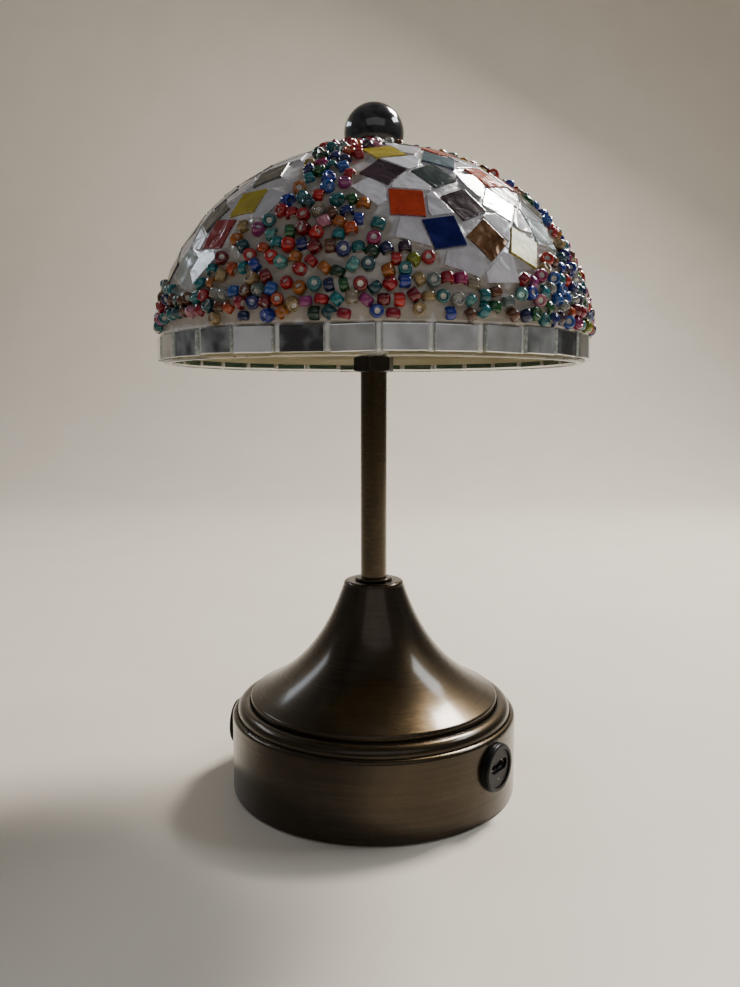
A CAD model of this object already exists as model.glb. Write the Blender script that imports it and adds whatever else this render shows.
"""Looks of a cordless mosaic glass table lamp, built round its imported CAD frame. Metres, +Z up.

The front is -Y. An azimuth is an angle round the lamp's axis: 0 is the front, and it grows towards +X.
"""

import math
import random

import bmesh
import bpy
import numpy as np
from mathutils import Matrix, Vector
from mathutils.kdtree import KDTree


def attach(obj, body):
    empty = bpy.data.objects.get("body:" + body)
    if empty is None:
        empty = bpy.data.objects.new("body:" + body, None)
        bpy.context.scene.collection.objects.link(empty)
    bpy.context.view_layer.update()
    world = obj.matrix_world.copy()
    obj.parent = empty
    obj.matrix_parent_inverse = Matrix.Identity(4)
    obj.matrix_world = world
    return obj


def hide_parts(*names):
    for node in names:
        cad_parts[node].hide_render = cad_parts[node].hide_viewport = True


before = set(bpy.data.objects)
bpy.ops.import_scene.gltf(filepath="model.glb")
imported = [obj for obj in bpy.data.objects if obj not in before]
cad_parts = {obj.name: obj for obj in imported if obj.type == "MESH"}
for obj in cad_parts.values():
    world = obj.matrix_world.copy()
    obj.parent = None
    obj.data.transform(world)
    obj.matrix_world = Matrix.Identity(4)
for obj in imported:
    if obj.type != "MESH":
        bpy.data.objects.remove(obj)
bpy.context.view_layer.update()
MM = 0.001
# The height of the middle of the dome's ellipse.
DOME_Z = 0.185
# The bedding's attribute: 1 among the beads, and 0 away from them.
BEAD_SHARE = "bead_share"
draw = random.Random(11)
scene = bpy.context.scene


def halfway(a, b):
    """The colour halfway between two others."""
    return tuple((x + y) / 2 for x, y in zip(a, b))


def place_new(name, data):
    """A new object in the scene."""
    made = bpy.data.objects.new(name, data)
    scene.collection.objects.link(made)
    return made


def mesh_from(name, shape):
    """Mesh data with a bmesh's faces. The bmesh is freed."""
    data = bpy.data.meshes.new(name)
    shape.to_mesh(data)
    shape.free()
    return data


def smooth(mesh):
    mesh.polygons.foreach_set("use_smooth", np.ones(len(mesh.polygons), bool))


# ---------------------------------------------------------------- node helpers
class Tree:
    """A material's node tree, with short ways to add and join nodes."""

    def __init__(self, name):
        self.material = bpy.data.materials.new(name)
        self.material.use_nodes = True
        self.nodes = self.material.node_tree.nodes
        self.links = self.material.node_tree.links
        self.shader = self.nodes["Principled BSDF"]

    def add(self, kind, **settings):
        node = self.nodes.new(kind)
        for key, value in settings.items():
            setattr(node, key, value)
        return node

    def join(self, source, target):
        self.links.new(source, target)

    def put(self, node, name, value):
        """Set an input of a node to a constant, or join an output to it."""
        socket = node.inputs[name]
        if isinstance(value, bpy.types.NodeSocket):
            self.join(value, socket)
        else:
            socket.default_value = value

    def finish(self, **values):
        """Set the shader's inputs, named with underscores for spaces."""
        for key, value in values.items():
            self.put(self.shader, key.replace("_", " "), value)

    def math(self, operation, a, b=0.0):
        node = self.add("ShaderNodeMath", operation=operation)
        self.put(node, 0, a)
        self.put(node, 1, b)
        return node.outputs[0]

    def place(self):
        return self.add("ShaderNodeTexCoord").outputs["Object"]

    def noise(self, vector, scale, detail=2.0, roughness=0.5, distortion=0.0):
        node = self.add("ShaderNodeTexNoise")
        self.put(node, "Vector", vector)
        for name, value in (
            ("Scale", scale),
            ("Detail", detail),
            ("Roughness", roughness),
            ("Distortion", distortion),
        ):
            self.put(node, name, value)
        return node.outputs["Fac"]

    def spread(self, value, low, high, to_low=0.0, to_high=1.0):
        node = self.add("ShaderNodeMapRange")
        for name, setting in (
            ("Value", value),
            ("From Min", low),
            ("From Max", high),
            ("To Min", to_low),
            ("To Max", to_high),
        ):
            self.put(node, name, setting)
        return node.outputs["Result"]

    def ramp(self, value, *stops, steps=False):
        """Colours by value. Each stop is (position, (r, g, b))."""
        node = self.add("ShaderNodeValToRGB")
        self.put(node, "Fac", value)
        ramp = node.color_ramp
        ramp.interpolation = "CONSTANT" if steps else "LINEAR"
        while len(ramp.elements) < len(stops):
            ramp.elements.new(0.5)
        for element, (position, colour) in zip(ramp.elements, stops):
            element.position = position
            element.color = (*colour, 1)
        return node.outputs["Color"]

    def mix(self, share, a, b, blend="MIX"):
        node = self.add("ShaderNodeMix", data_type="RGBA", blend_type=blend)
        self.put(node, 0, share)
        for name, value in (("A", a), ("B", b)):
            socket = [s for s in node.inputs if s.name == name and s.type == "RGBA"][0]
            if isinstance(value, bpy.types.NodeSocket):
                self.join(value, socket)
            else:
                socket.default_value = (*value, 1)
        return [s for s in node.outputs if s.type == "RGBA"][0]

    def bump(self, height, distance):
        node = self.add("ShaderNodeBump")
        self.put(node, "Height", height)
        self.put(node, "Distance", distance)
        self.put(node, "Strength", 1.0)
        return node.outputs["Normal"]

    def island(self):
        """A number from 0 to 1 for each separate piece of a mesh."""
        return self.add("ShaderNodeNewGeometry").outputs["Random Per Island"]

    def lathe_place(self, around, along):
        """Coordinates that follow a turned shape: slow round its axis, fast along its outline."""
        split = self.add("ShaderNodeSeparateXYZ")
        self.join(self.place(), split.inputs[0])
        x, y, z = split.outputs
        radius = self.math("SQRT", self.math("ADD", self.math("MULTIPLY", x, x), self.math("MULTIPLY", y, y)))
        safe = self.math("MAXIMUM", radius, 1e-5)
        joined = self.add("ShaderNodeCombineXYZ")
        self.join(self.math("MULTIPLY", self.math("DIVIDE", x, safe), around), joined.inputs[0])
        self.join(self.math("MULTIPLY", self.math("DIVIDE", y, safe), around), joined.inputs[1])
        self.join(self.math("MULTIPLY", self.math("SUBTRACT", z, radius), along), joined.inputs[2])
        return joined.outputs[0]


# ---------------------------------------------------------------- materials
def antique_brass(name, dark, light, roughness):
    """Aged brass under old lacquer: fine brushing round the axis, cloudy patina, worn streaks."""
    t = Tree(name)
    fine = t.noise(t.lathe_place(1.6, 5200), 1.0, 3.0, 0.65)
    broad = t.noise(t.lathe_place(1.4, 620), 1.0, 2.0, 0.6)
    clouds = t.noise(t.place(), 26, 4.0, 0.6, 0.4)
    lines = t.math("ADD", t.math("MULTIPLY", fine, 0.5), t.math("MULTIPLY", broad, 0.5))
    tone = t.math("ADD", t.math("MULTIPLY", lines, 0.5), t.math("MULTIPLY", clouds, 0.5))
    colour = t.ramp(tone, (0.34, dark), (0.50, halfway(dark, light)), (0.68, light))
    tangent = t.add("ShaderNodeTangent", direction_type="RADIAL", axis="Z")
    t.finish(
        Base_Color=colour,
        Metallic=1.0,
        Roughness=t.spread(tone, 0.35, 0.65, roughness + 0.07, roughness - 0.05),
        Anisotropic=0.35,
        Coat_Weight=0.6,
        Coat_Roughness=0.15,
        Normal=t.bump(fine, 0.00003),
        Tangent=tangent.outputs[0],
    )
    return t.material


def metal(name, colour, roughness):
    """Plain metal: fine turning marks, and a cloudy shift of tone."""
    t = Tree(name)
    grain = t.noise(t.lathe_place(2.0, 2700), 1.0, 3.0, 0.6)
    spots = t.noise(t.place(), 150, 3.0, 0.6)
    light = tuple(min(1.0, c * 1.12) for c in colour)
    dark = tuple(c * 0.82 for c in colour)
    t.finish(
        Base_Color=t.ramp(spots, (0.35, dark), (0.65, light)),
        Metallic=1.0,
        Roughness=t.spread(grain, 0.3, 0.7, roughness - 0.05, roughness + 0.08),
        Normal=t.bump(grain, 0.00002),
    )
    return t.material


def plastic(name, colour, roughness, coat=0.0, grain=2600, depth=0.00001, light=1.3, shine=0.5):
    """Moulded plastic or rubber: a fine moulded grain, and a faint change of tone from handling."""
    t = Tree(name)
    fine = t.noise(t.place(), grain, 2.0, 0.5)
    smears = t.noise(t.place(), 70, 3.0, 0.6, 0.8)
    t.finish(
        Base_Color=t.ramp(smears, (0.35, colour), (0.7, tuple(min(1, c * light) for c in colour))),
        Roughness=t.spread(smears, 0.3, 0.7, roughness, roughness + 0.07),
        Specular_IOR_Level=shine,
        Coat_Weight=coat,
        Coat_Roughness=0.04,
        Normal=t.bump(fine, depth),
    )
    return t.material


def clear_glass(name):
    """The shade's pressed glass, with a faint waviness and a warm tint in its depth."""
    t = Tree(name)
    waves = t.noise(t.place(), 26, 2.0, 0.5)
    t.finish(
        Base_Color=(0.97, 0.955, 0.90, 1),
        Roughness=t.spread(waves, 0.3, 0.7, 0.015, 0.05),
        Transmission_Weight=1.0,
        IOR=1.5,
        Normal=t.bump(waves, 0.0006),
    )
    return t.material


def white_bed(name, low, high, gloss):
    """Bedding under clear glue: matt white in the depth, wet and lumpy on top."""
    t = Tree(name)
    lumps = t.noise(t.place(), 210, 3.0, 0.6)
    stains = t.noise(t.place(), 42, 3.0, 0.55)
    t.finish(
        Base_Color=t.ramp(stains, (0.32, low), (0.66, high)),
        Roughness=t.spread(lumps, 0.3, 0.7, 0.30, 0.5),
        Coat_Weight=gloss,
        Coat_Roughness=0.06,
        Normal=t.bump(lumps, 0.0005),
    )
    return t.material


def mosaic_bed(name, fields, beads):
    """The bedding outside: cool white in the fields, greyer and warmer between the beads."""
    t = Tree(name)
    lumps = t.noise(t.place(), 210, 3.0, 0.6)
    stains = t.noise(t.place(), 42, 3.0, 0.55)
    share = t.add("ShaderNodeAttribute", attribute_name=BEAD_SHARE).outputs["Fac"]
    edge = t.spread(t.math("ADD", share, t.math("MULTIPLY", stains, 0.5)), 0.6, 0.9)
    in_fields = t.ramp(stains, (0.32, fields[0]), (0.66, fields[1]))
    by_beads = t.ramp(stains, (0.32, beads[0]), (0.66, beads[1]))
    t.finish(
        Base_Color=t.mix(edge, in_fields, by_beads),
        Roughness=t.spread(lumps, 0.3, 0.7, 0.24, 0.42),
        Coat_Weight=1.0,
        Coat_Roughness=0.06,
        Normal=t.bump(lumps, 0.0005),
    )
    return t.material


def tile_glass(name, dark, light, metallic):
    """Thin coloured glass over a silvered back, with ripples, scratches and a shift of tone."""
    t = Tree(name)
    ripple = t.noise(t.place(), 120, 2.0, 0.5, 0.6)
    cloud = t.noise(t.place(), 75, 3.0, 0.65, 1.2)
    tone = t.math("ADD", t.math("MULTIPLY", cloud, 0.65), t.math("MULTIPLY", t.island(), 0.35))
    t.finish(
        Base_Color=t.ramp(tone, (0.3, dark), (0.62, light)),
        Metallic=metallic,
        Roughness=t.spread(cloud, 0.3, 0.7, 0.10, 0.24),
        Specular_IOR_Level=0.2,
        Coat_Weight=0.38,
        Coat_Roughness=0.03,
        Normal=t.bump(ripple, 0.0007),
    )
    return t.material


def mirror_glass(name):
    """Old silvered glass: some pieces smoky, some bright, with ripples and foxed spots."""
    t = Tree(name)
    ripple = t.noise(t.place(), 60, 1.0, 0.5)
    spots = t.noise(t.place(), 520, 4.0, 0.7)
    fade = t.noise(t.place(), 110, 2.0, 0.5)
    smoke = t.spread(fade, 0.3, 0.7)
    tone = t.math("ADD", t.math("MULTIPLY", t.island(), 0.62), t.math("MULTIPLY", smoke, 0.36))
    silver = t.ramp(
        tone,
        (0.20, (0.06, 0.055, 0.055)),
        (0.36, (0.34, 0.36, 0.36)),
        (0.55, (0.70, 0.72, 0.71)),
        (0.78, (0.97, 0.98, 0.99)),
    )
    worn = t.spread(spots, 0.66, 0.74)
    t.finish(
        Base_Color=t.mix(worn, silver, (0.33, 0.34, 0.33)),
        Metallic=0.80,
        Roughness=t.spread(spots, 0.5, 0.75, 0.05, 0.14),
        Coat_Weight=1.0,
        Coat_Roughness=0.02,
        Normal=t.bump(ripple, 0.0012),
    )
    return t.material


def cut_edge(name, colour):
    """The broken, bright edge of a cut glass piece."""
    t = Tree(name)
    chips = t.noise(t.place(), 900, 3.0, 0.7)
    t.finish(
        Base_Color=t.ramp(chips, (0.35, colour), (0.7, tuple(min(1, c * 1.5 + 0.08) for c in colour))),
        Roughness=t.spread(chips, 0.3, 0.7, 0.12, 0.4),
        Coat_Weight=0.8,
        Coat_Roughness=0.05,
        Transmission_Weight=0.2,
        Normal=t.bump(chips, 0.0004),
    )
    return t.material


def bead_glass(name, shades, transmission):
    """Seed bead glass. Each bead takes one of the shades."""
    t = Tree(name)
    stops = [(i / len(shades), shade) for i, shade in enumerate(shades)]
    swirl = t.noise(t.place(), 700, 2.0, 0.5, 0.5)
    body = t.ramp(t.island(), *stops, steps=True)
    deep = t.mix(1.0, body, (0.60, 0.60, 0.60), "MULTIPLY")
    t.finish(
        Base_Color=t.mix(t.spread(swirl, 0.35, 0.65), deep, body),
        Roughness=t.spread(swirl, 0.3, 0.7, 0.05, 0.14),
        Transmission_Weight=transmission,
        IOR=1.52,
        Coat_Weight=0.35,
        Coat_Roughness=0.03,
        Normal=t.bump(swirl, 0.0001),
    )
    return t.material


def bead_lining(name, shades):
    """The bore of a bead: a bright foil lining in the bead's own shade."""
    t = Tree(name)
    foils = [tuple(min(1, c * 0.8 + 0.25) for c in shade) for shade in shades]
    stops = [(i / len(foils), foil) for i, foil in enumerate(foils)]
    grain = t.noise(t.place(), 1600, 2.0, 0.6)
    t.finish(
        Base_Color=t.ramp(t.island(), *stops, steps=True),
        Metallic=0.85,
        Roughness=t.spread(grain, 0.3, 0.7, 0.15, 0.4),
        Normal=t.bump(grain, 0.0001),
    )
    return t.material


def circuit_board(name, colour):
    """A board under solder mask, with lighter traces."""
    t = Tree(name)
    weave = t.add("ShaderNodeTexVoronoi")
    t.put(weave, "Vector", t.place())
    t.put(weave, "Scale", 420.0)
    traces = t.spread(weave.outputs["Distance"], 0.42, 0.46)
    lighter = tuple(min(1, c * 1.35 + 0.02) for c in colour)
    t.finish(
        Base_Color=t.mix(traces, colour, lighter),
        Roughness=t.spread(weave.outputs["Distance"], 0.2, 0.6, 0.28, 0.4),
        Coat_Weight=0.4,
        Normal=t.bump(traces, 0.00004),
    )
    return t.material


def leads(name, shades):
    """Extruded insulation. Each lead of a pair has its own colour."""
    t = Tree(name)
    scuffs = t.noise(t.place(), 600, 3.0, 0.6)
    stops = [(i / len(shades), shade) for i, shade in enumerate(shades)]
    body = t.ramp(t.island(), *stops, steps=True)
    t.finish(
        Base_Color=t.mix(t.spread(scuffs, 0.5, 0.8, 0.0, 0.35), body, (0.30, 0.28, 0.26)),
        Roughness=t.spread(scuffs, 0.3, 0.7, 0.38, 0.6),
        Normal=t.bump(scuffs, 0.0001),
    )
    return t.material


def frosted(name, colour, glow=0.0):
    """Cloudy, half clear plastic or resin. glow is how far light spreads in it."""
    t = Tree(name)
    bloom = t.noise(t.place(), 300, 2.0, 0.5)
    t.finish(
        Base_Color=t.ramp(bloom, (0.3, tuple(c * 0.94 for c in colour)), (0.7, colour)),
        Roughness=t.spread(bloom, 0.3, 0.7, 0.42, 0.55),
        Transmission_Weight=0.45,
        IOR=1.46,
        Subsurface_Weight=glow,
        Normal=t.bump(bloom, 0.0002),
    )
    return t.material


MATERIALS = {
    "base_brass": antique_brass("base_brass", (0.016, 0.010, 0.004), (0.058, 0.038, 0.017), roughness=0.29),
    "stem_brass": antique_brass("stem_brass", (0.021, 0.014, 0.005), (0.080, 0.054, 0.020), roughness=0.28),
    "nut_black": plastic(
        "nut_black", (0.006, 0.005, 0.004), 0.30, coat=0.2, grain=1500, depth=0.00003, shine=0.3
    ),
    "zinc_steel": metal("zinc_steel", (0.56, 0.57, 0.60), 0.30),
    "raw_brass": metal("raw_brass", (0.72, 0.50, 0.20), 0.26),
    "nickel": metal("nickel", (0.66, 0.64, 0.60), 0.16),
    "aluminium": metal("aluminium", (0.74, 0.75, 0.76), 0.32),
    "ball_black": plastic("ball_black", (0.006, 0.006, 0.007), 0.12, coat=1.0, grain=1200, depth=0.000004),
    "fitting_black": plastic(
        "fitting_black", (0.004, 0.004, 0.005), 0.32, grain=3000, depth=0.000012, shine=0.22
    ),
    "matte_black": plastic("matte_black", (0.018, 0.018, 0.019), 0.55, grain=2400, depth=0.00003),
    "rubber_black": plastic(
        "rubber_black", (0.014, 0.014, 0.014), 0.72, grain=1900, depth=0.00004, light=1.6
    ),
    "cell_wrap": plastic("cell_wrap", (0.03, 0.13, 0.36), 0.25, coat=0.5),
    "board_green": circuit_board("board_green", (0.012, 0.085, 0.035)),
    "board_white": circuit_board("board_white", (0.72, 0.72, 0.70)),
    "components": plastic("components", (0.02, 0.02, 0.022), 0.4),
    "leads": leads("leads", ((0.45, 0.012, 0.010), (0.012, 0.012, 0.012), (0.36, 0.010, 0.012))),
    "led_phosphor": frosted("led_phosphor", (0.90, 0.72, 0.16)),
    "diffuser": frosted("diffuser", (0.90, 0.89, 0.84), glow=0.2),
    "indicator": frosted("indicator", (0.75, 0.78, 0.76)),
    "shade_glass": clear_glass("shade_glass"),
    "white_bed": white_bed("white_bed", (0.46, 0.45, 0.46), (0.64, 0.635, 0.65), 0.6),
    "mosaic_bed": mosaic_bed(
        "mosaic_bed", ((0.38, 0.37, 0.385), (0.56, 0.55, 0.57)), ((0.25, 0.215, 0.18), (0.43, 0.385, 0.335))
    ),
    "bead_glue": white_bed("bead_glue", (0.34, 0.32, 0.29), (0.58, 0.56, 0.52), 1.0),
    "bed_back": white_bed("bed_back", (0.62, 0.55, 0.35), (0.80, 0.73, 0.52), 0.0),
    "clear_glue": white_bed("clear_glue", (0.50, 0.52, 0.51), (0.78, 0.80, 0.79), 1.0),
    "mirror": mirror_glass("mirror"),
    "mirror_edge": cut_edge("mirror_edge", (0.44, 0.49, 0.46)),
    "mirror_back": plastic("mirror_back", (0.014, 0.085, 0.058), 0.5, grain=900, depth=0.00003),
}
TILE_LOOKS = {
    "white": ((0.36, 0.355, 0.39), (0.55, 0.545, 0.59), 0.0),
    "yellow": ((0.180, 0.138, 0.003), (0.420, 0.330, 0.009), 0.08),
    "green": ((0.004, 0.011, 0.009), (0.016, 0.030, 0.027), 0.20),
    "orange": ((0.250, 0.017, 0.003), (0.480, 0.050, 0.006), 0.06),
    "plum": ((0.014, 0.006, 0.009), (0.052, 0.028, 0.037), 0.25),
    "blue": ((0.001, 0.002, 0.040), (0.003, 0.006, 0.115), 0.10),
    "red": ((0.120, 0.002, 0.005), (0.270, 0.006, 0.013), 0.06),
    "silver": ((0.24, 0.30, 0.31), (0.60, 0.67, 0.67), 0.92),
    "brown": ((0.040, 0.014, 0.003), (0.180, 0.078, 0.022), 0.38),
    "slate": ((0.020, 0.045, 0.060), (0.070, 0.130, 0.160), 0.25),
}
# A tile at an azimuth and height that isn't quite the colour of the others in its node.
ODD_TILES = (("red", 8.3, 0.2277, "orange"), ("blue", 26.1, 0.2476, "slate"))
BEAD_LOOKS = {
    "red": (((0.42, 0.004, 0.012), (0.20, 0.002, 0.012), (0.60, 0.014, 0.008), (0.30, 0.003, 0.022)), 0.25),
    "amber": (((0.50, 0.150, 0.012), (0.42, 0.300, 0.130), (0.56, 0.075, 0.006), (0.16, 0.050, 0.018)), 0.35),
    "teal": (((0.01, 0.17, 0.19), (0.10, 0.34, 0.33), (0.002, 0.07, 0.095), (0.006, 0.22, 0.26)), 0.30),
    "blue": (((0.006, 0.012, 0.15), (0.012, 0.036, 0.34), (0.004, 0.009, 0.085), (0.015, 0.095, 0.40)), 0.22),
    "pink": (((0.38, 0.014, 0.130), (0.52, 0.190, 0.270), (0.055, 0.012, 0.045), (0.34, 0.040, 0.220)), 0.30),
    "green": (((0.004, 0.110, 0.020), (0.230, 0.270, 0.008), (0.003, 0.040, 0.016)), 0.30),
    "clear": (((0.62, 0.63, 0.60), (0.30, 0.42, 0.41), (0.55, 0.47, 0.34)), 0.72),
}

# ---------------------------------------------------------------- the CAD nodes that stay, and what they wear
NODE_LOOKS = {
    "base_brass": ("base_shell", "neck_ring"),
    "stem_brass": ("stem_tube",),
    "nut_black": ("stem_nut",),
    "zinc_steel": (
        "base_washer",
        "base_nut",
        "seat_nut",
        "bottom_screws",
        "plate_lugs",
        "threaded_rod",
        "rocker_pin",
    ),
    "raw_brass": ("shade_seat", "finial_insert", "switch_terminals"),
    "nickel": ("usb_shell", "battery_contacts"),
    "aluminium": ("led_carrier",),
    "ball_black": ("finial_ball",),
    "fitting_black": ("socket_bezel", "switch_housing", "switch_rocker"),
    "matte_black": ("bottom_plate", "battery_cradle", "socket_nut", "usb_tongue", "board_standoffs"),
    "rubber_black": ("rubber_feet", "seat_gasket", "cap_washer"),
    "cell_wrap": ("battery_cell",),
    "board_green": ("control_board",),
    "board_white": ("led_board",),
    "components": ("board_components",),
    "leads": ("battery_leads", "switch_leads", "socket_leads", "led_leads"),
    "led_phosphor": ("led_chips",),
    "diffuser": ("led_diffuser",),
    "indicator": ("charge_indicator",),
    "shade_glass": ("shade_glass",),
}


def dress_nodes():
    """Give every CAD node that stays in the visual model its material."""
    for look, nodes in NODE_LOOKS.items():
        for name in nodes:
            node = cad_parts[name]
            node.data.materials.clear()
            node.data.materials.append(MATERIALS[look])


# ---------------------------------------------------------------- reading the mosaic from the frame
def islands(name):
    """The separate solids of a CAD node, each as an array of its points."""
    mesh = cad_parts[name].data
    points = np.empty(len(mesh.vertices) * 3)
    mesh.vertices.foreach_get("co", points)
    keys = np.round(points.reshape(-1, 3) * 1e7).astype(np.int64)
    unique, welded = np.unique(keys, axis=0, return_inverse=True)
    welded = welded.ravel()
    edges = np.empty(len(mesh.edges) * 2, np.int64)
    mesh.edges.foreach_get("vertices", edges)
    a, b = welded[edges[0::2]], welded[edges[1::2]]
    label = np.arange(len(unique))
    while True:
        lowest = np.minimum(label[a], label[b])
        before = label.copy()
        np.minimum.at(label, a, lowest)
        np.minimum.at(label, b, lowest)
        label = label[label]
        if (label == before).all():
            break
    places = unique * 1e-7
    order = np.argsort(label, kind="stable")
    cuts = np.nonzero(np.diff(label[order]))[0] + 1
    return [places[group] for group in np.split(order, cuts)]


def box_middle(points):
    return (points.max(0) + points.min(0)) / 2


def thin_axis(points):
    """The direction in which some points spread the least."""
    offsets = points - points.mean(0)
    _, vectors = np.linalg.eigh(offsets.T @ offsets)
    return vectors[:, 0]


def outward_of(place):
    """Roughly away from the inside of the dome."""
    return place - np.array([0.0, 0.0, DOME_Z])


# ---------------------------------------------------------------- beads
BEAD_AROUND = 18
BEAD_R, BEAD_HOLE_R, BEAD_HALF = 2.25 * MM, 0.9 * MM, 1.6 * MM
BEAD_OUTLINE_POINTS = 11
# The share of a full turn that a bead's outline goes round. The rest is open, towards the bore.
BEAD_WRAP = 0.85
# Superellipse powers of a bead's outline. A lower one is squarer.
BEAD_POWERS = (0.55, 0.7, 0.9)
# How much wider and longer than the CAD's a bead may be, and how deep it sits in the bedding.
BEAD_WIDE, BEAD_LONG, BEAD_SUNK = (0.98, 1.1), (0.94, 1.16), 0.35 * MM
# Glue fills a bore up to this share of its half length. This share of the bores has a foil lining.
BORE_GLUE, LINED_SHARE = 0.8, 0.3


def bead_outline(power):
    """A bead's cross-section: a plump outer side from one end of the bore to the other."""
    middle_r, half_r = (BEAD_R + BEAD_HOLE_R) / 2, (BEAD_R - BEAD_HOLE_R) / 2
    outline = []
    for i in range(BEAD_OUTLINE_POINTS):
        angle = math.pi * BEAD_WRAP * (i / (BEAD_OUTLINE_POINTS - 1) * 2 - 1)
        c, s = math.cos(angle), math.sin(angle)
        r = middle_r + half_r * math.copysign(abs(c) ** power, c)
        z = BEAD_HALF * math.copysign(abs(s) ** power, s)
        outline.append((r, z))
    return outline


def bead_template(power):
    """Points and faces of one bead about Z, and whether each face is glass (0) or glue in the bore (1)."""
    outline = bead_outline(power)
    count = len(outline)
    points = []
    for i in range(BEAD_AROUND):
        angle = 2 * math.pi * i / BEAD_AROUND
        points += [(r * math.cos(angle), r * math.sin(angle), z) for r, z in outline]
    low, high = len(points), len(points) + 1
    points += [(0, 0, outline[0][1] * BORE_GLUE), (0, 0, outline[-1][1] * BORE_GLUE)]
    faces, glued = [], []
    for i in range(BEAD_AROUND):
        here, following = i * count, (i + 1) % BEAD_AROUND * count
        for j in range(count - 1):
            faces.append((here + j, following + j, following + j + 1, here + j + 1))
            glued.append(0)
        faces.append((low, following, here))
        faces.append((high, here + count - 1, following + count - 1))
        glued += [1, 1]
    return np.array(points), faces, glued


def basis(axis):
    """Two unit vectors across an axis."""
    helper = np.array([0.0, 0.0, 1.0]) if abs(axis[2]) < 0.9 else np.array([1.0, 0.0, 0.0])
    u = np.cross(helper, axis)
    u /= np.linalg.norm(u)
    return u, np.cross(axis, u)


def bead_piece(colour):
    """Every bead of one colour: plump glass rings, each a little different. Returns their middles."""
    shades, transmission = BEAD_LOOKS[colour]
    templates = [bead_template(power) for power in BEAD_POWERS]
    points, faces, looks, centres = [], [], [], []
    start = 0
    for island in islands(f"beads_{colour}"):
        middle, axis = box_middle(island), thin_axis(island)
        u, v = basis(axis)
        shape, sides, glued = draw.choice(templates)
        wide, long = draw.uniform(*BEAD_WIDE), draw.uniform(*BEAD_LONG)
        turned = shape[:, :1] * wide * u + shape[:, 1:2] * wide * v + shape[:, 2:] * long * axis
        inward = -outward_of(middle) / np.linalg.norm(outward_of(middle))
        points.append(turned + middle + inward * BEAD_SUNK)
        faces += [tuple(n + start for n in face) for face in sides]
        filling = 2 if draw.random() < LINED_SHARE else 1
        looks += [filling * g for g in glued]
        centres.append(middle)
        start += len(shape)
    mesh = bpy.data.meshes.new(f"{colour}_glass_beads")
    mesh.from_pydata(np.concatenate(points).tolist(), [], faces)
    mesh.polygons.foreach_set("material_index", np.array(looks, np.int32))
    mesh.polygons.foreach_set("use_smooth", np.array(looks) == 0)
    mesh.materials.append(bead_glass(f"bead_{colour}", shades, transmission))
    mesh.materials.append(MATERIALS["bead_glue"])
    mesh.materials.append(bead_lining(f"bead_{colour}_lining", shades))
    piece = place_new(f"{colour}_glass_beads", mesh)
    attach(piece, "lamp")
    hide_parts(f"beads_{colour}")
    return centres


# ---------------------------------------------------------------- tiles
# How far a corner may be cut in, and how wide the broken edge is.
LEAST_JITTER, TILE_JITTER, MIRROR_JITTER = 0.05 * MM, 0.45 * MM, 0.3 * MM
TILE_BEVEL, MIRROR_BEVEL = 0.22 * MM, 0.25 * MM
# How much lower than the front a corner may be, and how near the back's plane its points are.
FRONT_DROP, BACK_DEPTH = 0.12 * MM, 0.1 * MM
# Points along each side of a tile that the bedding climbs towards.
OUTLINE_STEPS = 9
# How close to the stated place an odd tile is.
ODD_DEGREES, ODD_HEIGHT = 3, 3 * MM


def tile_corners(points):
    """A tile's outward direction and thickness, and its back's middle and corners in order round it."""
    normal = thin_axis(points)
    if normal @ outward_of(points.mean(0)) < 0:
        normal = -normal
    depth = points @ normal
    back = points[depth < depth.min() + BACK_DEPTH]
    thickness = depth.max() - depth.min()
    centre = back.mean(0)
    u, v = basis(normal)
    angles = np.arctan2((back - centre) @ v, (back - centre) @ u)
    return normal, thickness, centre, back[np.argsort(angles)]


def cut_tile(mesh, points, jitter, bevel, slots):
    """Add one hand-cut tile to a bmesh. Returns points along its outline.

    slots are the materials of its front, edge and back.
    """
    normal, thickness, centre, back = tile_corners(points)
    corners = []
    for corner in back:
        inward = (centre - corner) / np.linalg.norm(centre - corner)
        corners.append(corner + inward * draw.uniform(LEAST_JITTER, jitter))
    low = [mesh.verts.new(c) for c in corners]
    high = [mesh.verts.new(c + normal * (thickness - draw.uniform(0, FRONT_DROP))) for c in corners]
    made = [mesh.faces.new(high), mesh.faces.new(low[::-1])]
    count = len(corners)
    for i in range(count):
        k = (i + 1) % count
        made.append(mesh.faces.new((low[i], low[k], high[k], high[i])))
    made[0].material_index, made[1].material_index = slots[0], slots[2]
    for side in made[2:]:
        side.material_index = slots[1]
    upright = [e for side in made[2:] for e in side.edges if e not in made[1].edges]
    rim = list(dict.fromkeys([*made[0].edges, *upright]))
    bmesh.ops.bevel(mesh, geom=rim, offset=bevel, segments=2, profile=0.6, affect="EDGES", material=-1)
    ends = zip(corners, corners[1:] + corners[:1])
    return [a + (b - a) * k / OUTLINE_STEPS for a, b in ends for k in range(OUTLINE_STEPS)]


def sort_faces(mesh):
    """Put a bmesh's faces in the order of their lowest three points, because bevelling can shuffle them."""
    mesh.verts.index_update()
    count = len(mesh.verts)

    def rank(face):
        a, b, c = sorted(v.index for v in face.verts)[:3]
        return (a * count + b) * count + c

    mesh.faces.sort(key=rank)


def is_near(points, azimuth, height):
    """Whether a tile's middle is close to an azimuth in degrees and a height."""
    middle = points.mean(0)
    off = math.degrees(math.atan2(middle[0], -middle[1])) - azimuth
    return abs(off) < ODD_DEGREES and abs(middle[2] - height) < ODD_HEIGHT


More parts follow.
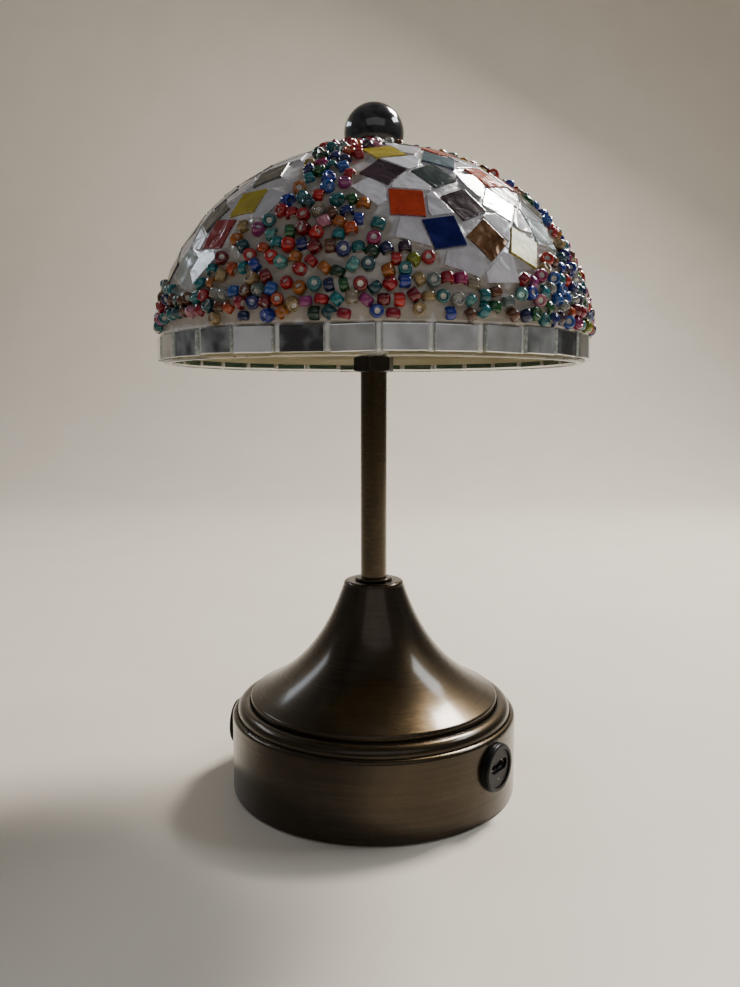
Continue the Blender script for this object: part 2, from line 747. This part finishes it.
def tile_piece(name, node, materials, jitter, bevel, odd=()):
    """One object for every tile of a node. Returns points along the tiles' outlines.

    odd lists tiles whose front has a look of its own, as an azimuth, a height and a material.
    """
    mesh = bmesh.new()
    outlines = []
    for island in islands(node):
        front = 0
        for slot_index, (azimuth, height, _) in enumerate(odd, len(materials)):
            if is_near(island, azimuth, height):
                front = slot_index
        outlines += cut_tile(mesh, island, jitter, bevel, (front, 1, 2))
    bmesh.ops.recalc_face_normals(mesh, faces=mesh.faces)
    sort_faces(mesh)
    data = mesh_from(name, mesh)
    for material in (*materials, *(look for _, _, look in odd)):
        data.materials.append(material)
    piece = place_new(name, data)
    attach(piece, "lamp")
    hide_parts(node)
    return outlines


def all_tiles():
    """The pieces of every tile node and the mirror band. Returns points along the tiles' outlines."""
    outlines = []
    faces = {colour: tile_glass(f"tile_{colour}", *look) for colour, look in TILE_LOOKS.items()}
    for colour, (dark, light, _) in TILE_LOOKS.items():
        node = f"tesserae_{colour}"
        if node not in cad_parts:
            continue  # a look that only odd tiles have
        edge = cut_edge(f"tile_{colour}_edge", halfway(dark, light))
        looks = (faces[colour], edge, MATERIALS["white_bed"])
        odd = [(azimuth, height, faces[look]) for home, azimuth, height, look in ODD_TILES if home == colour]
        name = f"{colour}_glass_squares"
        outlines += tile_piece(name, node, looks, TILE_JITTER, TILE_BEVEL, odd)
    mirror = (MATERIALS["mirror"], MATERIALS["mirror_edge"], MATERIALS["mirror_back"])
    tile_piece("mirror_band", "mirror_tiles", mirror, MIRROR_JITTER, MIRROR_BEVEL)
    return outlines


# ---------------------------------------------------------------- the bedding and glue
# The half axes of the glass's outside, and the gap between it and the bedding's back.
GLASS_A, GLASS_B, BACK_GAP = 85.0 * MM, 76.5 * MM, 0.04 * MM
# The bedding's thickness in the mosaic, and behind the mirror band.
BED, THIN_COAT = 1.05 * MM, 0.12 * MM
# The hole on top, the flat round it, and the lower ends of the bedding and of the thin coat.
BED_TOP_R, BED_FLAT_Z = 9.7 * MM, 260.5 * MM
BED_LOW_Z, COAT_LOW_Z = 189.2 * MM, 181.8 * MM
# Points round the lamp, rows down the mosaic and rows behind the mirrors. The back has one point for
# every BACK_STEP of them, so that has to divide BED_AROUND and BED_DOWN + BED_BELOW.
BED_AROUND, BED_DOWN, BED_BELOW, BACK_STEP = 500, 176, 8, 4
# The bedding climbs this much at the edge of a tile or bead, and the climb dies out over CREEP.
TILE_CLIMB, BEAD_CLIMB = 1.0 * MM, 0.6 * MM
TILE_EDGE, BEAD_EDGE, CREEP = 0.9 * MM, 2.9 * MM, 0.9 * MM
# How far from a bead the bedding still has the beads' tone, and over what distance it is lost.
BEAD_TONE_REACH, BEAD_TONE_FADE = 6.2 * MM, 2.0 * MM
# The glue between two mirrors: its half width, what chance adds to that, and its depth, foot and height.
GLUE_HALF, GLUE_EXTRA, GLUE_DEEP = 1.0 * MM, 0.25 * MM, 1.15 * MM
GLUE_LOW_Z, GLUE_TALL, GLUE_ROWS = 179.6 * MM, 9.5 * MM, 8


def nearest_to(places):
    """A search tree over some places."""
    tree = KDTree(len(places))
    for i, place in enumerate(places):
        tree.insert(place, i)
    tree.balance()
    return tree


def bed_rows():
    """The bedding's rows from the top down: an angle on the dome's ellipse, and a thickness."""
    top = math.acos(BED_TOP_R / GLASS_A)
    low = math.asin((BED_LOW_Z - DOME_Z) / GLASS_B)
    rows = [(top + (low - top) * j / BED_DOWN, BED) for j in range(BED_DOWN + 1)]
    last = math.asin((COAT_LOW_Z - DOME_Z) / GLASS_B)
    return rows + [(low + (last - low) * j / BED_BELOW, THIN_COAT) for j in range(1, BED_BELOW + 1)]


def bedding(bead_centres, tile_outlines):
    """White bedding over the glass that climbs a little round every bead and tile.

    Behind the mirror band only its thin cream coat goes on down.
    """
    beads, tiles = nearest_to(bead_centres), nearest_to(tile_outlines)
    rows, count, step = bed_rows(), BED_AROUND, BACK_STEP
    last_row = len(rows) - 1
    outer, inner, share, inner_index = [], [], [], {}
    for j, (angle, thickness) in enumerate(rows):
        for i in range(count):
            turn = 2 * math.pi * i / count
            radial = Vector((math.sin(turn), -math.cos(turn), 0))
            place = radial * GLASS_A * math.cos(max(angle, 0))
            place.z = min(DOME_Z + GLASS_B * math.sin(angle), BED_FLAT_Z)
            normal = radial * math.cos(angle) / GLASS_A + Vector((0, 0, max(math.sin(angle), 0) / GLASS_B))
            normal.normalize()
            _, _, near_bead = beads.find(place)
            _, _, near_tile = tiles.find(place)
            climb = BEAD_CLIMB * math.exp(-max(0.0, near_bead - BEAD_EDGE) / CREEP)
            climb = max(climb, TILE_CLIMB * math.exp(-max(0.0, near_tile - TILE_EDGE) / CREEP))
            outer.append(place + normal * (thickness + (climb if thickness == BED else 0.0)))
            share.append(min(1.0, max(0.0, (BEAD_TONE_REACH - near_bead) / BEAD_TONE_FADE)))
            if j % step == 0 and i % step == 0:
                inner_index[(j, i)] = len(inner)
                inner.append(place + normal * BACK_GAP)
    faces, looks = [], []
    for j in range(last_row):
        for i in range(count):
            k = (i + 1) % count
            faces.append((j * count + i, (j + 1) * count + i, (j + 1) * count + k, j * count + k))
            looks.append(0)
    offset = len(outer)
    for i in range(0, count, step):
        k = (i + step) % count
        for j in range(0, last_row, step):
            corners = ((j, i), (j, k), (j + step, k), (j + step, i))
            faces.append([offset + inner_index[corner] for corner in corners])
            looks.append(1)
        edge = [(i + n) % count for n in range(step + 1)]
        top = [offset + inner_index[(0, i)], offset + inner_index[(0, k)]]
        foot = [offset + inner_index[(last_row, i)], offset + inner_index[(last_row, k)]]
        faces.append([top[0], *edge, top[1]])
        faces.append([foot[1], *[last_row * count + n for n in edge[::-1]], foot[0]])
        looks += [0, 1]
    mesh = bpy.data.meshes.new("mosaic_bedding")
    mesh.from_pydata(outer + inner, [], faces)
    smooth(mesh)
    mesh.polygons.foreach_set("material_index", np.array(looks, np.int32))
    layer = mesh.attributes.new(BEAD_SHARE, "FLOAT", "POINT")
    layer.data.foreach_set("value", np.array(share + [0.0] * len(inner), np.float32))
    mesh.materials.append(MATERIALS["mosaic_bed"])
    mesh.materials.append(MATERIALS["bed_back"])
    piece = place_new("mosaic_bedding", mesh)
    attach(piece, "lamp")
    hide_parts("grout_coat")


def mirror_glue():
    """Clear glue that fills each gap between two mirrors of the band."""
    middles = []
    for island in islands("mirror_tiles"):
        middle = box_middle(island)
        middles.append(math.atan2(middle[0], -middle[1]))
    middles.sort()
    mesh = bmesh.new()
    for a, b in zip(middles, middles[1:] + [middles[0] + 2 * math.pi]):
        at = (a + b) / 2
        half = GLUE_HALF + GLUE_EXTRA * draw.random()
        centre = Vector((math.sin(at), -math.cos(at), 0))
        across = Vector((math.cos(at), math.sin(at), 0))
        rows = []
        for step in range(GLUE_ROWS + 1):
            height = GLUE_LOW_Z + GLUE_TALL * step / GLUE_ROWS
            swell = 1 - 0.35 * abs(2 * step / GLUE_ROWS - 1) ** 3 + draw.uniform(-0.1, 0.1)
            row = []
            for side, out in ((-1, 0.05), (-0.9, 0.75), (0, swell), (0.9, 0.75), (1, 0.05)):
                place = centre * (GLASS_A + GLUE_DEEP * out) + across * half * side
                row.append(mesh.verts.new((place.x, place.y, height)))
            rows.append(row)
        for low, high in zip(rows, rows[1:]):
            for i in range(4):
                mesh.faces.new((low[i], low[i + 1], high[i + 1], high[i]))
            mesh.faces.new((low[4], low[0], high[0], high[4]))
        mesh.faces.new(rows[0][::-1])
        mesh.faces.new(rows[-1])
    bmesh.ops.recalc_face_normals(mesh, faces=mesh.faces)
    data = mesh_from("mirror_glue", mesh)
    smooth(data)
    data.materials.append(MATERIALS["clear_glue"])
    piece = place_new("mirror_glue", data)
    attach(piece, "lamp")


# ---------------------------------------------------------------- stage, light and camera
def stage_set():
    """A pale floor that curves up into a plain backdrop."""
    mesh = bmesh.new()
    half, front, back, top, bend, steps = 3.2, -1.6, 1.5, 2.6, 0.5, 12
    outline = [(front, 0.0), (back - bend, 0.0)]
    for i in range(1, steps + 1):
        angle = math.pi / 2 * i / steps
        outline.append((back - bend + bend * math.sin(angle), bend - bend * math.cos(angle)))
    outline.append((back, top))
    rows = [[mesh.verts.new((x, y, z)) for x in (-half, half)] for y, z in outline]
    for low, high in zip(rows, rows[1:]):
        mesh.faces.new((low[0], low[1], high[1], high[0]))
    data = mesh_from("floor", mesh)
    smooth(data)
    t = Tree("pale_table")
    speckle = t.noise(t.place(), 14, 3.0, 0.5)
    t.finish(
        Base_Color=t.ramp(speckle, (0.3, (0.74, 0.675, 0.575)), (0.7, (0.77, 0.705, 0.605))),
        Roughness=0.42,
        Specular_IOR_Level=0.35,
    )
    data.materials.append(t.material)
    place_new("floor", data)


def area_light(name, place, target, size, power, colour):
    light = bpy.data.lights.new(name, "AREA")
    light.shape = "RECTANGLE"
    light.size, light.size_y = size
    light.energy = power
    light.color = colour
    lamp = place_new(name, light)
    lamp.location = place
    lamp.rotation_euler = (Vector(target) - Vector(place)).to_track_quat("-Z", "Y").to_euler()


def studio():
    """A key light from behind right, weaker ones from the right, behind left and in front, and a dim room."""
    area_light("key", (0.62, 0.62, 1.15), (0, 0, 0.12), (0.32, 0.32), 31, (1.0, 0.95, 0.88))
    area_light("side", (0.94, 0.24, 0.98), (0, 0, 0.10), (0.60, 0.22), 6, (0.88, 0.94, 1.0))
    area_light("window", (-1.0, 0.56, 0.84), (0, 0, 0.10), (0.70, 0.14), 2.0, (0.80, 0.89, 1.0))
    area_light("front", (0.2, -1.5, 1.2), (0, 0, 0.15), (2.2, 0.9), 3, (0.98, 0.98, 1.0))
    world = bpy.data.worlds.new("studio")
    world.use_nodes = True
    nodes, links = world.node_tree.nodes, world.node_tree.links
    place = nodes.new("ShaderNodeTexCoord")
    patches = nodes.new("ShaderNodeTexNoise")
    tones = nodes.new("ShaderNodeValToRGB")
    patches.inputs["Scale"].default_value = 2.2
    patches.inputs["Detail"].default_value = 1.0
    dark, bright = tones.color_ramp.elements
    dark.position, bright.position = 0.38, 0.64
    dark.color, bright.color = (0.34, 0.33, 0.325, 1), (0.76, 0.76, 0.78, 1)
    links.new(place.outputs["Generated"], patches.inputs["Vector"])
    links.new(patches.outputs["Fac"], tones.inputs["Fac"])
    links.new(tones.outputs["Color"], nodes["Background"].inputs["Color"])
    nodes["Background"].inputs["Strength"].default_value = 0.24
    scene.world = world


def camera():
    """The camera that was fitted to the photo."""
    data = bpy.data.cameras.new("camera")
    data.lens, data.sensor_width = 31.0, 36.0
    data.clip_start = 0.01
    eye = place_new("camera", data)
    eye.location = (-0.00157, -0.3575, 0.1645)
    degrees_down = 6.33
    eye.rotation_euler = (math.radians(90 - degrees_down), 0, 0)
    scene.camera = eye


dress_nodes()
bead_centres = [centre for colour in BEAD_LOOKS for centre in bead_piece(colour)]
tile_outlines = all_tiles()
bedding(bead_centres, tile_outlines)
mirror_glue()
stage_set()
studio()
camera()
